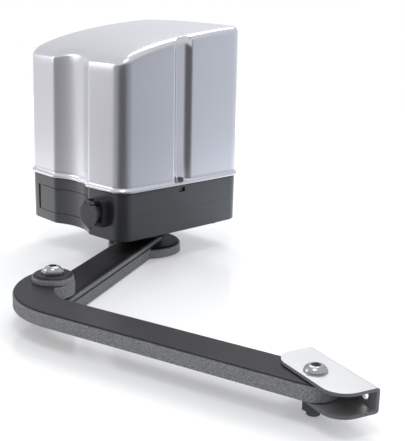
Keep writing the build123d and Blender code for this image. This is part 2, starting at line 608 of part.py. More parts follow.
def key_block(z0, z1, turn=0.0):
    """Parallel key at the surface of the output shaft, about its own axis."""
    return Rot(0, 0, turn) * block(SHAFT_R - 4, SHAFT_R + 3, -4, 4, z0, z1)


def straight_arm():
    """Flanged arm along +X from the shaft, turned to its place at rest."""
    flange = cyl(HUB_R, ARM_Z0, ARM_Z0 + ARM_FLANGE_T)
    flange = fillet(flange.edges().sort_by(Axis.Z)[-1], HUB_ROUND)
    w = ARM_W / 2 + ARM_LEDGE
    flange += block(0, ARM_LEN, -w, w, ARM_Z0, ARM_Z0 + ARM_FLANGE_T)
    flange += cyl(w, ARM_Z0, ARM_Z0 + ARM_FLANGE_T, ARM_LEN, 0)
    spine = block(0, ARM_LEN, -ARM_W / 2, ARM_W / 2, ARM_Z0, ARM_Z1)
    spine += cyl(ARM_W / 2, ARM_Z0, ARM_Z1, ARM_LEN, 0) + cyl(ARM_W / 2, ARM_Z0, ARM_Z1, 0, 0)
    spine = fillet([e for e in spine.edges() if abs(e.center().Z - ARM_Z1) < 0.01], ARM_ROUND)
    arm = flange + spine
    arm += cyl(BUSH_FLANGE_R + 2, ARM_Z0 + 2, ARM_Z1, ARM_LEN, 0)
    arm += cyl(SHAFT_R + 4, ARM_Z0 + 2, ARM_Z1, 0, 0)
    arm -= cyl(SHAFT_R, HUB_SHAFT_Z, ARM_Z1 + 1)
    arm -= key_block(HUB_SHAFT_Z + 1, ARM_Z1 + 1)
    arm -= cyl(5.2, ARM_Z0 - 1, ARM_Z1)
    arm -= cyl(12, ARM_Z0 - 1, ARM_Z0 + HUB_SCREW_H)
    arm -= cyl(BOLT_R, ARM_Z0 - 1, ARM_Z1 + 1, ARM_LEN, 0)
    arm -= hexagon(NUT_AF + 0.3, ARM_Z0 - 1, ARM_Z0 + THIN_NUT_H + 0.5, ARM_LEN, 0)
    return Pos(SHAFT_X, SHAFT_Y, 0) * Rot(0, 0, ARM_REST) * arm


def build_straight():
    save("straight_arm", straight_arm())
    z = ARM_Z0 + HUB_SCREW_H
    screw = cyl(5.0, z, HUB_SHAFT_Z) + cyl(11.5, ARM_Z0 + 0.4, z)
    screw -= hexagon(6, ARM_Z0, ARM_Z0 + 2.4)
    save("hub_screw", Pos(SHAFT_X, SHAFT_Y, 0) * screw)
    seat = EYE_Z1 + BUSH_FLANGE_T + WASHER_T
    save("elbow_bolt", button_bolt(ELBOW[0], ELBOW[1], seat, seat - ARM_Z0 - 0.5))
    save("elbow_washer", tube(WASHER_R, BOLT_R, seat - WASHER_T, seat, ELBOW[0], ELBOW[1]))
    low = Pos(SHAFT_X, SHAFT_Y, 0) * Rot(0, 0, ARM_REST) * nut(ARM_LEN, 0, ARM_Z0 + 0.5, THIN_NUT_H)
    save("elbow_nut", low)


def curved_outline():
    """Plan of the curved arm about the elbow, its straight run along +X."""
    inner = CURVE_R - CURVE_W
    cy = -CURVE_OFFSET - CURVE_W / 2 + CURVE_R
    start = math.degrees(math.atan2(-cy, -CURVE_CX))
    ring = Pos(CURVE_CX, cy) * (Circle(CURVE_R) - Circle(inner))
    reach = CURVE_R + 5
    wedge = [(CURVE_CX, cy)]
    for k in range(7):
        a = math.radians(start + (-90 - start) * k / 6)
        wedge.append((CURVE_CX + reach * 1.2 * math.cos(a), cy + reach * 1.2 * math.sin(a)))
    sector = ring & make_face(Polyline(*[(x, y, 0) for x, y in wedge], close=True))
    run = Pos((CURVE_CX + CURVE_LEN) / 2, -CURVE_OFFSET) * Rectangle(CURVE_LEN - CURVE_CX, CURVE_W)
    end = Pos(CURVE_LEN, -CURVE_OFFSET) * Circle(CURVE_W / 2)
    d = math.hypot(CURVE_CX, cy)
    k = (CURVE_R - d - HEAD_R) / d
    head = Pos(-CURVE_CX * k, -cy * k) * Circle(HEAD_R)
    return sector + run + end + head + Circle(EYE_R)


def build_curved():
    arm = extrude(Pos(0, 0, CURVE_Z0) * curved_outline(), amount=CURVE_T)
    arm = fillet([e for e in arm.edges() if abs(e.center().Z - CURVE_Z1) < 0.01], CURVE_EDGE)
    eye = cyl(EYE_R, CURVE_Z0, EYE_Z1)
    arm += fillet(eye.edges().sort_by(Axis.Z)[-1], EYE_ROUND)
    arm -= cyl(BOLT_R + BUSH_WALL, CURVE_Z0 - 1, EYE_Z1 + 1)
    arm -= cyl(BOLT_R + BUSH_WALL, CURVE_Z0 - 1, EYE_Z1 + 1, CURVE_LEN, -CURVE_OFFSET)
    arm = Pos(ELBOW[0], ELBOW[1], 0) * Rot(0, 0, CURVE_HEADING) * arm
    save("curved_arm", arm)
    bush = tube(BOLT_R + BUSH_WALL, BOLT_R + RUN_GAP, CURVE_Z0 - ARM_GAP + 0.1, EYE_Z1 + BUSH_FLANGE_T - 0.1)
    bush += tube(BUSH_FLANGE_R, BOLT_R + RUN_GAP, EYE_Z1, EYE_Z1 + BUSH_FLANGE_T - 0.1)
    bush += tube(BUSH_FLANGE_R, BOLT_R + RUN_GAP, CURVE_Z0 - ARM_GAP + 0.1, CURVE_Z0)
    save("elbow_bush", Pos(ELBOW[0], ELBOW[1], 0) * bush)
    bush = tube(BOLT_R + BUSH_WALL, BOLT_R + RUN_GAP, CURVE_Z0 - BUSH_FLANGE_T, CURVE_Z1 + BUSH_FLANGE_T)
    bush += tube(BUSH_FLANGE_R, BOLT_R + RUN_GAP, CURVE_Z1, CURVE_Z1 + BUSH_FLANGE_T)
    bush += tube(BUSH_FLANGE_R, BOLT_R + RUN_GAP, CURVE_Z0 - BUSH_FLANGE_T, CURVE_Z0)
    save("gate_bush", Pos(GATE[0], GATE[1], 0) * bush)


BRACKET_Z0 = CURVE_Z0 - BUSH_FLANGE_T - 0.1 - BRACKET_T
BRACKET_Z1 = CURVE_Z1 + BUSH_FLANGE_T + 0.1 + BRACKET_T


def build_bracket():
    plate = Pos(BRACKET_SHIFT, BRACKET_AXIS_Y - BRACKET_W / 2) * Rectangle(BRACKET_L, BRACKET_W)
    plate = fillet([v for v in plate.vertices() if v.Y < 0], BRACKET_CORNER_R)
    body = extrude(Pos(0, 0, BRACKET_Z0) * plate, amount=BRACKET_Z1 - BRACKET_Z0)
    back = [e for e in body.edges().filter_by(Axis.X) if e.center().Y > BRACKET_AXIS_Y - 1]
    body = fillet(back, BRACKET_T)
    body -= block(-BRACKET_L, BRACKET_L, -BRACKET_W, BRACKET_AXIS_Y - BRACKET_T,
                  BRACKET_Z0 + BRACKET_T, BRACKET_Z1 - BRACKET_T)
    body -= cyl(BOLT_R, BRACKET_Z0 - 1, BRACKET_Z1 + 1)
    mid = (BRACKET_Z0 + BRACKET_Z1) / 2
    for x in (-GATE_HOLE_SPACING / 2, GATE_HOLE_SPACING / 2):
        body -= cyl_y(GATE_HOLE_R, BRACKET_AXIS_Y - 10, BRACKET_AXIS_Y + 5, x, mid)
    save("gate_bracket", Pos(GATE[0], GATE[1], 0) * Rot(0, 0, BRACKET_TURN) * body)
    drop = BRACKET_Z1 - FLOOR_Z - 2.0
    save("gate_bolt", button_bolt(GATE[0], GATE[1], BRACKET_Z1, drop))
    z = BRACKET_Z0 - 1.5
    save("gate_washer", tube(WASHER_R - 1, BOLT_R, z, BRACKET_Z0, GATE[0], GATE[1]))
    save("gate_nut", nut(GATE[0], GATE[1], z - NUT_H, NUT_H))


def build_electronics():
    x0, x1, y = -80.0, 80.0, -24.0
    leg_x, leg_z = 60.0, 34.0
    base_z = BASE_Z0 + BASE_FLOOR
    panel = block(x0, x1, y - 3, y, leg_z, 150)
    panel += block(-leg_x, leg_x, y - 3, y, base_z, leg_z)
    panel += block(-leg_x, leg_x, y - 15, y, base_z, base_z + 3)
    save("board_bracket", panel)
    save("control_board", block(x0 + 5, x1 - 5, y - 9.6, y - 8, 45, 146))
    save("board_spacers", *[cyl_y(3, y - 8, y - 3, x, z) for x in (x0 + 12, x1 - 12) for z in (52, 139)])
    save("terminal_blocks", *[block(x, x + 24, y - 19.6, y - 9.6, 47, 61) for x in (-70, -42, -14, 14, 42)])
    save("relays", *[block(x, x + 16, y - 25.6, y - 9.6, 110, 138) for x in (-60, -38, -16)])
    save("board_capacitor", cyl_y(9, y - 34.6, y - 9.6, 30, 120))
    save("board_fuse", cyl_x(2.6, 46, 68, y - 13.2, 92) + block(44, 70, y - 13, y - 9.6, 90, 94))
    tx0, tx1 = 22.0, 86.0
    ty0 = -UNIT_D + COVER_WALL + 16.0
    ty1 = ty0 + 52.0
    tz = PLATE_Z1 + 22
    save("transformer_core", block(tx0, tx1, ty0 + 10, ty1 - 10, tz, tz + 54))
    coil = block(tx0 + 12, tx1 - 12, ty0, ty1, tz + 10, tz + 44) - block(tx0, tx1, ty0 + 10, ty1 - 10, tz, tz + 54)
    save("transformer_coil", coil)
    stand = block(tx0, tx1 - 6, ty0 + 12, ty1 - 12, tz - 2, tz)
    for x in (tx0, tx1 - 16):
        stand += block(x, x + 8, ty0 + 12, ty0 + 24, PLATE_Z1, tz)
    save("transformer_bracket", stand)
    switch = []
    for z0, z1 in ((PLATE_Z1, PLATE_Z1 + 7.4), (PLATE_Z1 + 7.5, PLATE_Z1 + 13.5)):
        switch.append(block(SHAFT_X + 20, SHAFT_X + 32, SHAFT_Y - 10, SHAFT_Y + 10, z0, z1))
    save("limit_switches", *switch)
    gland = tube(GLAND_NUT_R, GLAND_BORE_R, BASE_Z0 - GLAND_HEAD_H, BASE_Z0, GLAND_X, GLAND_Y)
    gland += tube(GLAND_BORE_R + 2.5, GLAND_BORE_R, BASE_Z0 - 1, BASE_Z0 + BASE_FLOOR + 8, GLAND_X, GLAND_Y)
    gland += tube(GLAND_NUT_R, GLAND_BORE_R, BASE_Z0 + BASE_FLOOR, BASE_Z0 + BASE_FLOOR + 4, GLAND_X, GLAND_Y)
    save("cable_gland", gland)


build_housing()
build_cover()
build_lock()
build_output()
build_lay()
build_plate()
build_motor()
build_straight()
build_curved()
build_bracket()
build_electronics()
print("elbow", ELBOW, "gate", GATE, "lay", LAY, "worm x", WORM_X)
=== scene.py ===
"""Looks of the articulated arm gate opener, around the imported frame. Metres."""
import json
import math

import bmesh
import bpy
from mathutils import Matrix, Vector


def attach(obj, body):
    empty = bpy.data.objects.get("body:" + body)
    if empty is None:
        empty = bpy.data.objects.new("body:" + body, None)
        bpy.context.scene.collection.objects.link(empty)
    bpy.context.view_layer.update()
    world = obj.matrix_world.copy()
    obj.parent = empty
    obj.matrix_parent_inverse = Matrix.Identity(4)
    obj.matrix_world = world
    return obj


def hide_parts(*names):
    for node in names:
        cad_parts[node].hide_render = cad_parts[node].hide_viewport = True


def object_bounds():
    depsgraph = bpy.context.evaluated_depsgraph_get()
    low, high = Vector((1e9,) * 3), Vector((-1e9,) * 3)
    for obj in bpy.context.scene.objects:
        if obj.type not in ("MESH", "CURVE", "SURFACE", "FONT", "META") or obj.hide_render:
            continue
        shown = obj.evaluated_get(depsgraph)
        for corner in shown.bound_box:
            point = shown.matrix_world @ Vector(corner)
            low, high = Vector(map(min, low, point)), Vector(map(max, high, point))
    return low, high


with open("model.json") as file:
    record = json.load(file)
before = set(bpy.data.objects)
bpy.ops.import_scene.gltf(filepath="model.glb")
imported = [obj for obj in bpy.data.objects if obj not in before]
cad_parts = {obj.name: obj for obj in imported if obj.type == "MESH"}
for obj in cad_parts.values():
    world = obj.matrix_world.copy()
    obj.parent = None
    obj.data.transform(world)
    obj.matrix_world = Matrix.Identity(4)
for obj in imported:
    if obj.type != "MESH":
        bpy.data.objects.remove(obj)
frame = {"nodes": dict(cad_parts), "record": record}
CAD_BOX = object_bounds()
NODES = frame["nodes"]
WHITE = (1, 1, 1, 1)

# Camera, solved from the photograph
CAM_AZIMUTH = 45.47
CAM_ELEVATION = 14.71
CAM_ROLL = 1.43
CAM_PLACE = (0.9432, -0.9010, 0.2892)
CAM_REACH = 50
FOCAL_PX = 933.92
IMAGE_W = 405
SENSOR_MM = 36.0

# Table top: its glow to the camera rises from near the object to where it lies clear of it
FLOOR_GAP = 0.001
FLOOR_Z = CAD_BOX[0][2] - FLOOR_GAP
FLOOR_CENTRE = (0.0, -0.1)
FLOOR_R = 1.6
FLOOR_SIDES = 96
FLOOR_GREY = 0.84
FLOOR_ROUGH = 0.14
FLOOR_SPECULAR = 0.35
FLOOR_CLEAR = (0.55, 1.05)
FLOOR_LIFT = (0.27, 0.60)

# Light of the room and of the table top as smooth surfaces mirror it: direction, from the photographer's
# side (0) to behind the object (1), and brightness
ROOM_LEVELS = ((0.0, 0.05), (0.04, 0.09), (0.12, 0.29), (0.28, 0.37), (0.40, 0.50), (0.5, 0.76),
               (0.56, 0.88), (0.66, 0.90), (0.95, 0.92))
ROOM_TINT_LEFT = (0.98, 0.98, 1.0)
ROOM_TINT_RIGHT = (0.86, 0.91, 1.0)
ROOM_STRENGTH = 0.86
CEILING = (0.78, 0.79, 0.82)
CEILING_RISE = (0.12, 0.42)
TABLE_REACH = (0.35, 1.0)
TABLE_GLOW = (1.6, 0.92)

# Lamps: name, place, what it is aimed at, size and power in watts
LAMPS = (("rear_box", (-0.45, 0.65, 1.45), (0.2, -0.25, 0), (0.9, 0.7), 11),
         ("top_box", (0.5, -0.6, 1.5), (0.2, -0.25, 0), (0.5, 0.5), 4),
         ("left_box", (-1.5, -1.5, 0.8), (0.1, -0.2, 0.05), (0.8, 1.1), 5))

# Plan of the housing's right half, from its front centre round to its rear centre: radius of each run (0
# where it is straight), its turn in degrees (its length where it is straight) and its number of steps
SCOOP = (0.06625, -29.01, 14)
CREASE = (0.012, 32.21, 8)
FRONT_PANEL = (0, 0.0411, 8)
FRONT_CORNER = (0.018, 85.30, 18)
BOWED_SIDE = (3.303, 2.975, 150)
REAR_CORNER = (0.018, 88.525, 12)
HALF_BACK = (0, 0.0787, 8)
PLAN = (SCOOP, CREASE, FRONT_PANEL, FRONT_CORNER, BOWED_SIDE, REAR_CORNER, HALF_BACK)
SCOOP_DEPTH = 0.010

# Cover: overall sizes, heights of the lowest rings above its foot, and the lip as height and distance out
COVER_DEPTH = 0.209
COVER_HALF_W = 0.0977
COVER_DRAFT = math.tan(math.radians(0.5))
COVER_FOOT_Z = 0.0385
COVER_WALL = 0.003
FOOT_RISES = (0, 0.0025, 0.006, 0.012, 0.020)
WALL_STEPS = 12
LIP_PROFILE = ((0.0368, 0.0004), (0.0357, 0.0012), (0.0350, 0.0024), (0.0345, 0.0029), (0.0338, 0.0030),
               (0.0322, 0.0030), (0.0316, 0.0026), (0.0316, -0.0030))
WELD = 0.00001

# Roof: height at the rear edge, its fall towards the front, its crown across, and its rounded rim
ROOF_REAR_Z = 0.2262
ROOF_SLOPE = 0.045
ROOF_BEND = 0.5
ROOF_NOSE = 0.0085
NOSE_POWER = 8
ROOF_CROWN = 0.002
ROOF_STEPS = 10
RIM_SIDE_R = 0.008
RIM_FRONT_R = 0.0105
RIM_REAR_R = 0.006
RIM_STEPS = 8
SPINE_FRONT_Y = -0.150
SPINE_REAR_Y = -0.050

# Grooves in the cover's sides: widths, depths, and the heights over which each begins and deepens
GROOVE_Y = -0.107
GROOVE_MOUTH = 0.031
GROOVE_FLOOR = 0.013
GROOVE_DEPTH = 0.006
GROOVE_FOOT_DEPTH = 0.0042
GROOVE_FOOT = (0.0343, 0.0350)
GROOVE_DEEPER = (0.042, 0.065)

# Noise in the finishes: detail and roughness of each kind, and the stretch of its values that is used
PATCH_NOISE = (4.0, 0.6)
GRAIN_NOISE = (3.0, 0.6)
SAND_NOISE = (2.0, 0.7)
NOISE_BAND = (0.3, 0.7)

# Paint of the arms: how level a face is where tops turn into sides, then the looks of tops and sides. The
# sides are painted far lighter than the tops, as painted light from the front
ARM_PAINTED_LIGHT_LEVEL = (0.75, 0.35)
ARM_PATCHES = 35
ARM_SAND = 900
ARM_TOPS = ((0.015, 0.015, 0.016), (0.020, 0.020, 0.021))
ARM_SIDES_PAINTED_LIGHT = ((0.16, 0.162, 0.17), (0.40, 0.405, 0.42))
ARM_SIDE_BAND = (0.36, 0.64)
ARM_ROUGH = (0.34, 0.44)
ARM_SPECULAR = 0.2
ARM_STRENGTH = 0.35
ARM_BUMP_MM = 0.1

# Finishes by material slot, and the nodes that have another finish than their slot's
FINISHES = {
    "cover_plastic": dict(low=(0.79, 0.79, 0.83), high=(0.80, 0.80, 0.84), rough=(0.24, 0.27), metal=0.88,
                          grain=900, mottle=3, bump_mm=0.001, strength=0.02, coat=0.2, coat_rough=0.15),
    "base_paint": dict(low=(0.118, 0.120, 0.121), high=(0.132, 0.134, 0.136), rough=(0.30, 0.38), metal=0.80,
                       grain=1500, mottle=14, bump_mm=0.03, strength=0.15),
    "dark_screw": dict(low=(0.10, 0.10, 0.11), high=(0.14, 0.14, 0.15), rough=(0.3, 0.42), metal=0.9,
                       grain=600, mottle=60, bump_mm=0.01, strength=0.2),
    "zinc_plate": dict(low=(0.60, 0.60, 0.60), high=(0.64, 0.64, 0.64), rough=(0.36, 0.42), metal=0.85,
                       grain=900, mottle=20, bump_mm=0.002, strength=0.04),
    "bolt_steel": dict(low=(0.42, 0.43, 0.44), high=(0.55, 0.56, 0.57), rough=(0.16, 0.28), metal=1.0,
                       grain=600, mottle=60, bump_mm=0.01, strength=0.2),
    "black_plastic": dict(low=(0.018, 0.018, 0.020), high=(0.026, 0.026, 0.028), rough=(0.35, 0.5),
                          grain=1500, mottle=40, bump_mm=0.03),
    "grey_plastic": dict(low=(0.055, 0.056, 0.060), high=(0.075, 0.076, 0.080), rough=(0.35, 0.5),
                         grain=1200, mottle=40, bump_mm=0.03),
    "ground_steel": dict(low=(0.50, 0.50, 0.51), high=(0.60, 0.60, 0.61), rough=(0.2, 0.35), metal=1.0,
                         grain=500, mottle=60, bump_mm=0.01),
    "gear_steel": dict(low=(0.30, 0.30, 0.31), high=(0.42, 0.42, 0.43), rough=(0.3, 0.45), metal=1.0,
                       grain=400, mottle=60, bump_mm=0.02),
    "wheel_bronze": dict(low=(0.55, 0.38, 0.17), high=(0.68, 0.50, 0.25), rough=(0.25, 0.4), metal=1.0,
                         grain=400, mottle=50, bump_mm=0.02),
    "seal_rubber": dict(low=(0.012, 0.012, 0.012), high=(0.02, 0.02, 0.02), rough=(0.6, 0.75),
                        grain=900, mottle=60, bump_mm=0.03),
    "cast_alloy": dict(low=(0.42, 0.43, 0.44), high=(0.55, 0.56, 0.57), rough=(0.45, 0.6), metal=0.9,
                       grain=500, mottle=40, bump_mm=0.1),
    "motor_steel": dict(low=(0.04, 0.04, 0.045), high=(0.06, 0.06, 0.065), rough=(0.35, 0.5),
                        grain=700, mottle=40, bump_mm=0.03),
    "sheet_steel": dict(low=(0.50, 0.50, 0.51), high=(0.62, 0.62, 0.63), rough=(0.3, 0.42), metal=1.0,
                        grain=300, mottle=40, bump_mm=0.02),
    "coil_tape": dict(low=(0.45, 0.32, 0.06), high=(0.60, 0.45, 0.12), rough=(0.4, 0.55),
                      grain=300, mottle=80, bump_mm=0.05),
    "board_green": dict(low=(0.01, 0.09, 0.035), high=(0.02, 0.14, 0.055), rough=(0.3, 0.45),
                        grain=400, mottle=90, bump_mm=0.02),
    "capacitor_sleeve": dict(low=(0.015, 0.02, 0.09), high=(0.025, 0.03, 0.13), rough=(0.25, 0.4),
                             grain=400, mottle=50, bump_mm=0.02),
    "fuse_glass": dict(low=(0.42, 0.42, 0.40), high=(0.55, 0.55, 0.52), rough=(0.15, 0.25),
                       grain=400, mottle=50, bump_mm=0.01),
}
NODE_FINISH = {"cover_screws": "dark_screw", "release_lever": "base_paint"}


def look_axes(azimuth, elevation, roll):
    """Right, up and forward directions of a camera that looks down by elevation."""
    az, el, ro = (math.radians(v) for v in (azimuth, elevation, roll))
    forward = Vector((-math.sin(az) * math.cos(el), math.cos(az) * math.cos(el), -math.sin(el)))
    right = Vector((math.cos(az), math.sin(az), 0))
    up = right.cross(forward)
    return (math.cos(ro) * right + math.sin(ro) * up,
            -math.sin(ro) * right + math.cos(ro) * up, forward)


def add_camera():
    data = bpy.data.cameras.new("camera")
    data.sensor_fit = "HORIZONTAL"
    data.sensor_width = SENSOR_MM
    data.lens = SENSOR_MM * FOCAL_PX / IMAGE_W
    data.clip_end = CAM_REACH
    cam = bpy.data.objects.new("camera", data)
    right, up, forward = look_axes(CAM_AZIMUTH, CAM_ELEVATION, CAM_ROLL)
    turn = Matrix((right, up, -forward)).transposed().to_4x4()
    cam.matrix_world = Matrix.Translation(CAM_PLACE) @ turn
    bpy.context.scene.collection.objects.link(cam)
    bpy.context.scene.camera = cam


def new_material(name):
    mat = bpy.data.materials.new(name)
    mat.use_nodes = True
    tree = mat.node_tree
    return mat, tree, tree.nodes["Principled BSDF"]


def node(tree, kind, **values):
    """A new node, with its inputs or settings set by name."""
    made = tree.nodes.new(kind)
    for name, value in values.items():
        if name in made.inputs:
            made.inputs[name].default_value = value
        else:
            setattr(made, name, value)
    return made


def object_coords(tree):
    return tree.nodes.new("ShaderNodeTexCoord").outputs["Object"]


def noise(tree, coords, scale, detail, rough):
    made = node(tree, "ShaderNodeTexNoise", Scale=scale, Detail=detail, Roughness=rough)
    tree.links.new(coords, made.inputs["Vector"])
    return made.outputs["Fac"]


def ramp(tree, fac, low, high, start=0.0, end=1.0):
    """Colour between low and high as fac goes from start to end."""
    made = tree.nodes.new("ShaderNodeValToRGB")
    for element, place, value in zip(made.color_ramp.elements, (start, end), (low, high)):
        element.position = place
        element.color = (*value, 1.0)
    tree.links.new(fac, made.inputs["Fac"])
    return made.outputs["Color"]


def map_range(tree, value, low, high, to_low=0.0, to_high=1.0):
    made = node(tree, "ShaderNodeMapRange")
    tree.links.new(value, made.inputs["Value"])
    for name, number in (("From Min", low), ("From Max", high), ("To Min", to_low), ("To Max", to_high)):
        made.inputs[name].default_value = number
    return made.outputs["Result"]


def product(tree, first, second):
    made = node(tree, "ShaderNodeMath", operation="MULTIPLY")
    tree.links.new(first, made.inputs[0])
    tree.links.new(second, made.inputs[1])
    return made.outputs[0]


def vector_math(tree, operation, first, second=(0, 0, 0), output="Vector"):
    made = node(tree, "ShaderNodeVectorMath", operation=operation)
    tree.links.new(first, made.inputs[0])
    made.inputs[1].default_value = second
    return made.outputs[output]


def mix_by_ray(tree, ray, others, theirs, output):
    """Send others to the output, but theirs to rays of one kind."""
    mix = tree.nodes.new("ShaderNodeMixShader")
    tree.links.new(tree.nodes.new("ShaderNodeLightPath").outputs[ray], mix.inputs["Fac"])
    tree.links.new(others, mix.inputs[1])
    tree.links.new(theirs, mix.inputs[2])
    tree.links.new(mix.outputs["Shader"], tree.nodes[output].inputs["Surface"])


def grey(value):
    return (value, value, value)


def bump(tree, shader, height, strength, bump_mm):
    made = node(tree, "ShaderNodeBump", Strength=strength, Distance=bump_mm / 1000)
    tree.links.new(height, made.inputs["Height"])
    tree.links.new(made.outputs["Normal"], shader.inputs["Normal"])


def surface(name, low, high, rough, grain, mottle, bump_mm, metal=0.0, strength=0.3, coat=0.0,
            coat_rough=0.2):
    """A finish whose colour and roughness wander a little, with a fine grain in its bump."""
    mat, tree, shader = new_material(name)
    coords = object_coords(tree)
    tint = noise(tree, coords, mottle, *PATCH_NOISE)
    fine = noise(tree, coords, grain, *GRAIN_NOISE)
    tree.links.new(ramp(tree, tint, low, high, *NOISE_BAND), shader.inputs["Base Color"])
    tree.links.new(ramp(tree, fine, grey(rough[0]), grey(rough[1]), *NOISE_BAND), shader.inputs["Roughness"])
    shader.inputs["Metallic"].default_value = metal
    shader.inputs["Coat Weight"].default_value = coat
    shader.inputs["Coat Roughness"].default_value = coat_rough
    bump(tree, shader, fine, strength, bump_mm)
    return mat


def arm_paint():
    """Powder coat on the arms: smooth on their flat tops and sandy on their upright sides, which carry
    painted light that makes them far lighter than the tops.
    """
    mat, tree, shader = new_material("arm_paint")
    coords = object_coords(tree)
    facing = node(tree, "ShaderNodeSeparateXYZ")
    tree.links.new(tree.nodes.new("ShaderNodeNewGeometry").outputs["Normal"], facing.inputs[0])
    level = node(tree, "ShaderNodeMath", operation="ABSOLUTE")
    tree.links.new(facing.outputs["Z"], level.inputs[0])
    sand = noise(tree, coords, ARM_SAND, *SAND_NOISE)
    patches = noise(tree, coords, ARM_PATCHES, *PATCH_NOISE)
    # Painted light: upright faces get a much lighter colour than level tops, chosen by how steep each face is
    mix = node(tree, "ShaderNodeMix", data_type="RGBA")
    tree.links.new(map_range(tree, level.outputs[0], *ARM_PAINTED_LIGHT_LEVEL), mix.inputs["Factor"])
    tree.links.new(ramp(tree, patches, *ARM_TOPS, *NOISE_BAND), mix.inputs["A"])
    tree.links.new(ramp(tree, sand, *ARM_SIDES_PAINTED_LIGHT, *ARM_SIDE_BAND), mix.inputs["B"])
    tree.links.new(mix.outputs["Result"], shader.inputs["Base Color"])
    rough = ramp(tree, sand, grey(ARM_ROUGH[0]), grey(ARM_ROUGH[1]), *NOISE_BAND)
    tree.links.new(rough, shader.inputs["Roughness"])
    shader.inputs["Specular IOR Level"].default_value = ARM_SPECULAR
    bump(tree, shader, sand, ARM_STRENGTH, ARM_BUMP_MM)
    return mat


def make_finishes():
    made = {name: surface(name, **look) for name, look in FINISHES.items()}
    made["arm_paint"] = arm_paint()
    return made


def dress_nodes(finishes):
    for part in frame["record"]["subparts"]:
        obj = NODES[part["node"]]
        if not obj.material_slots:
            obj.data.materials.append(None)
        for slot in obj.material_slots:
            slot.material = finishes[NODE_FINISH.get(part["node"], part["material_slot"])]


def smooth(value, low, high):
    """0 below low, 1 above high and a smooth rise between."""
    t = min(max((value - low) / (high - low), 0.0), 1.0)
    return t * t * (3 - 2 * t)


def outline():
    """Points of the whole plan, each x, y and its outward direction, anticlockwise from the rear centre."""
    half = []
    x, y, heading = 0.0, SCOOP_DEPTH - COVER_DEPTH, 0.0
    for radius, run, steps in PLAN:
        turn = math.radians(run) if radius else 0.0
        bend = math.copysign(radius, turn)
        hub_x, hub_y = x - bend * math.sin(heading), y + bend * math.cos(heading)
        for step in range(steps):
            now = heading + turn * step / steps
            if radius:
                place = (hub_x + bend * math.sin(now), hub_y - bend * math.cos(now))
            else:
                ahead = run * step / steps
                place = (x + ahead * math.cos(now), y + ahead * math.sin(now))
            half.append((*place, math.sin(now), -math.cos(now)))
        heading += turn
        if radius:
            x, y = hub_x + bend * math.sin(heading), hub_y - bend * math.cos(heading)
        else:
            x, y = x + run * math.cos(heading), y + run * math.sin(heading)
    half.append((0.0, y, 0.0, 1.0))
    left = [(-px, py, -nx, ny) for px, py, nx, ny in half[1:-1]]
    return left[::-1] + half


def roof_height(x, y):
    """Height of the roof: it falls and bends to the front, drops at its nose and is crowned across."""
    back = -y
    edge = ROOF_REAR_Z - ROOF_SLOPE * back - ROOF_BEND * back ** 2
    edge -= ROOF_NOSE * (back / COVER_DEPTH) ** NOSE_POWER
    return edge + ROOF_CROWN * (1 - (x / COVER_HALF_W) ** 2)


def groove_cut(point, z):
    """How far a side groove cuts in at one point of the outline and a height."""
    across = 1 - smooth(abs(point[1] - GROOVE_Y), GROOVE_FLOOR / 2, GROOVE_MOUTH / 2)
    depth = GROOVE_FOOT_DEPTH + (GROOVE_DEPTH - GROOVE_FOOT_DEPTH) * smooth(z, *GROOVE_DEEPER)
    return across * depth * smooth(z, *GROOVE_FOOT)


def shifted(point, off, z):
    """Point of the outline moved out by off, never behind the wall plane."""
    return (point[0] + off * point[2], min(point[1] + off * point[3], 0.0), z)


def rim_point(point, turn, skin):
    """Point of the rounded rim, from wall (turn 0) to roof (a quarter turn), skin under the outside."""
    front, rear = max(-point[3], 0.0) ** 2, max(point[3], 0.0) ** 2
    radius = RIM_SIDE_R + (RIM_FRONT_R - RIM_SIDE_R) * front + (RIM_REAR_R - RIM_SIDE_R) * rear
    cut = groove_cut(point, ROOF_REAR_Z)
    inset = math.hypot(radius * (1 - math.cos(turn)), cut)
    lift = math.sqrt(max(0.0, 1 - (1 - min(inset / radius, 1.0)) ** 2))
    off = -COVER_DRAFT * (roof_height(point[0], point[1]) - COVER_FOOT_Z) - skin
    here = shifted(point, off - inset, 0)
    inner = shifted(point, off - radius, 0)
    low, high = roof_height(*inner[:2]), roof_height(*here[:2])
    return (here[0], here[1], low + (high - low) * lift - radius * (1 - lift) - skin)


def wall_point(point, z, off, skin):
    """Point of the wall at a height, moved out by off, with its draft and groove."""
    out = off - COVER_DRAFT * max(z - COVER_FOOT_Z, 0.0) - groove_cut(point, z) - skin
    return shifted(point, out, z)


def roof_point(point, share, skin):
    """Point of the roof, from the rim (share 0) to the spine of the roof (share 1)."""
    x, y, z = rim_point(point, math.pi / 2, skin)
    spine_y = min(max(y, SPINE_FRONT_Y), SPINE_REAR_Y)
    x, y = x * (1 - share), y + (spine_y - y) * share
    return (x, y, roof_height(x, y) - skin)


def cover_skin(points, skin):
    """Rings of one side of the cover's wall, from the spine of the roof down to the foot."""
    rings = [[roof_point(p, 1 - k / ROOF_STEPS, skin) for p in points] for k in range(ROOF_STEPS)]
    for k in range(RIM_STEPS):
        rings.append([rim_point(p, math.pi / 2 * (1 - k / RIM_STEPS), skin) for p in points])
    tops = [rim_point(p, 0, skin)[2] for p in points]
    bend = COVER_FOOT_Z + FOOT_RISES[-1]
    for k in range(WALL_STEPS):
        share = k / WALL_STEPS
        rings.append([wall_point(p, top + (bend - top) * share, 0, skin) for p, top in zip(points, tops)])
    for rise in FOOT_RISES[::-1]:
        rings.append([wall_point(p, COVER_FOOT_Z + rise, 0, skin) for p in points])
    return rings


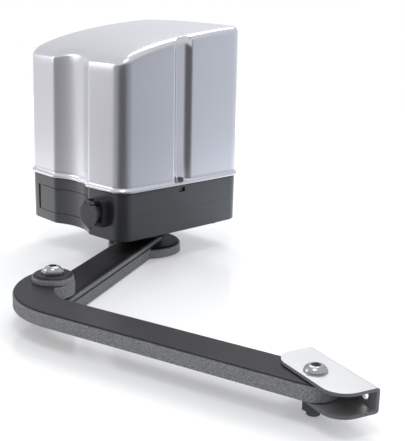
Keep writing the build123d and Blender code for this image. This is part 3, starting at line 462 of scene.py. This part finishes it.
def ring_mesh(name, rings):
    """Closed surface through rings of equal size, its first and last ring drawn together where they meet."""
    size = len(rings[0])
    faces = []
    for row in range(len(rings) - 1):
        for k in range(size):
            after = (k + 1) % size
            faces.append((row * size + k, (row + 1) * size + k, (row + 1) * size + after, row * size + after))
    mesh = bpy.data.meshes.new(name)
    mesh.from_pydata([p for ring in rings for p in ring], [], faces)
    work = bmesh.new()
    work.from_mesh(mesh)
    bmesh.ops.remove_doubles(work, verts=work.verts, dist=WELD)
    bmesh.ops.recalc_face_normals(work, faces=work.faces)
    work.to_mesh(mesh)
    work.free()
    mesh.polygons.foreach_set("use_smooth", [True] * len(mesh.polygons))
    made = bpy.data.objects.new(name, mesh)
    bpy.context.scene.collection.objects.link(made)
    return made


def add_cover(finish):
    """Moulded cover: scooped front, grooved sides, flared foot and a roof that falls to the front."""
    points = outline()
    rings = cover_skin(points, 0.0)
    rings += [[wall_point(p, z, off, 0.0) for p in points] for z, off in LIP_PROFILE]
    rings += cover_skin(points, COVER_WALL)[::-1]
    cover = ring_mesh("moulded_cover", rings)
    cover.data.materials.append(finish)
    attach(cover, "housing")
    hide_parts("cover_shell")


def room_levels(tree, places):
    """Brightness of the room by the level direction of places, dark where the photographer stands."""
    right, _, forward = look_axes(CAM_AZIMUTH, 0, 0)
    facing = vector_math(tree, "NORMALIZE", vector_math(tree, "MULTIPLY", places, (1, 1, 0)))
    along = vector_math(tree, "DOT_PRODUCT", facing, forward, "Value")
    across = vector_math(tree, "DOT_PRODUCT", facing, right, "Value")
    levels = tree.nodes.new("ShaderNodeValToRGB")
    for place, value in ROOM_LEVELS:
        levels.color_ramp.elements.new(place).color = (*grey(value), 1)
    levels.color_ramp.elements.remove(levels.color_ramp.elements[0])
    levels.color_ramp.elements.remove(levels.color_ramp.elements[-1])
    tree.links.new(map_range(tree, along, -1.0, 1.0), levels.inputs["Fac"])
    tint = ramp(tree, map_range(tree, across, -1.0, 1.0), ROOM_TINT_LEFT, ROOM_TINT_RIGHT)
    mix = node(tree, "ShaderNodeMix", data_type="RGBA", blend_type="MULTIPLY")
    mix.inputs["Factor"].default_value = 1.0
    tree.links.new(levels.outputs["Color"], mix.inputs["A"])
    tree.links.new(tint, mix.inputs["B"])
    return mix.outputs["Result"]


def floor_finish():
    """Pale and glossy, white where it lies clear of the object, and the room's levels to glossy rays."""
    mat, tree, shader = new_material("floor_white")
    shader.inputs["Base Color"].default_value = (*grey(FLOOR_GREY), 1)
    shader.inputs["Roughness"].default_value = FLOOR_ROUGH
    shader.inputs["Specular IOR Level"].default_value = FLOOR_SPECULAR
    shader.inputs["Emission Color"].default_value = WHITE
    places = object_coords(tree)
    away = vector_math(tree, "LENGTH", places, output="Value")
    lift = map_range(tree, away, *FLOOR_CLEAR, *FLOOR_LIFT)
    seen = tree.nodes.new("ShaderNodeLightPath").outputs["Is Camera Ray"]
    tree.links.new(product(tree, lift, seen), shader.inputs["Emission Strength"])
    glow = node(tree, "ShaderNodeEmission")
    tree.links.new(map_range(tree, away, *TABLE_REACH, *TABLE_GLOW), glow.inputs["Strength"])
    tree.links.new(room_levels(tree, places), glow.inputs["Color"])
    mix_by_ray(tree, "Is Glossy Ray", shader.outputs["BSDF"], glow.outputs["Emission"], "Material Output")
    return mat


def add_floor():
    """Round table top under the object."""
    turns = [math.tau * k / FLOOR_SIDES for k in range(FLOOR_SIDES)]
    ring = [(FLOOR_R * math.cos(turn), FLOOR_R * math.sin(turn), 0) for turn in turns]
    mesh = bpy.data.meshes.new("floor")
    mesh.from_pydata(ring, [], [list(range(FLOOR_SIDES))])
    mesh.materials.append(floor_finish())
    floor = bpy.data.objects.new("floor", mesh)
    floor.location = (*FLOOR_CENTRE, FLOOR_Z)
    bpy.context.scene.collection.objects.link(floor)


def add_world():
    """The room that surfaces mirror, with its ceiling, and plain white to the camera."""
    world = bpy.data.worlds.new("studio")
    world.use_nodes = True
    bpy.context.scene.world = world
    tree = world.node_tree
    facing = tree.nodes.new("ShaderNodeTexCoord").outputs["Generated"]
    height = node(tree, "ShaderNodeSeparateXYZ")
    tree.links.new(facing, height.inputs[0])
    blend = node(tree, "ShaderNodeMix", data_type="RGBA", B=(*CEILING, 1))
    tree.links.new(map_range(tree, height.outputs["Z"], *CEILING_RISE), blend.inputs["Factor"])
    tree.links.new(room_levels(tree, facing), blend.inputs["A"])
    room = tree.nodes["Background"]
    tree.links.new(blend.outputs["Result"], room.inputs["Color"])
    room.inputs["Strength"].default_value = ROOM_STRENGTH
    seen = node(tree, "ShaderNodeBackground", Color=WHITE, Strength=1.0)
    mix_by_ray(tree, "Is Camera Ray", room.outputs["Background"], seen.outputs["Background"], "World Output")


def add_lamp(name, place, target, size, power):
    data = bpy.data.lights.new(name, "AREA")
    data.shape = "RECTANGLE"
    data.size, data.size_y = size
    data.energy = power
    lamp = bpy.data.objects.new(name, data)
    aim = Vector(target) - Vector(place)
    lamp.matrix_world = Matrix.Translation(place) @ aim.to_track_quat("-Z", "Y").to_matrix().to_4x4()
    bpy.context.scene.collection.objects.link(lamp)


add_camera()
made_finishes = make_finishes()
dress_nodes(made_finishes)
add_cover(made_finishes["cover_plastic"])
add_floor()
add_world()
for lamp_values in LAMPS:
    add_lamp(*lamp_values)
bpy.context.scene.view_settings.view_transform = "Standard"
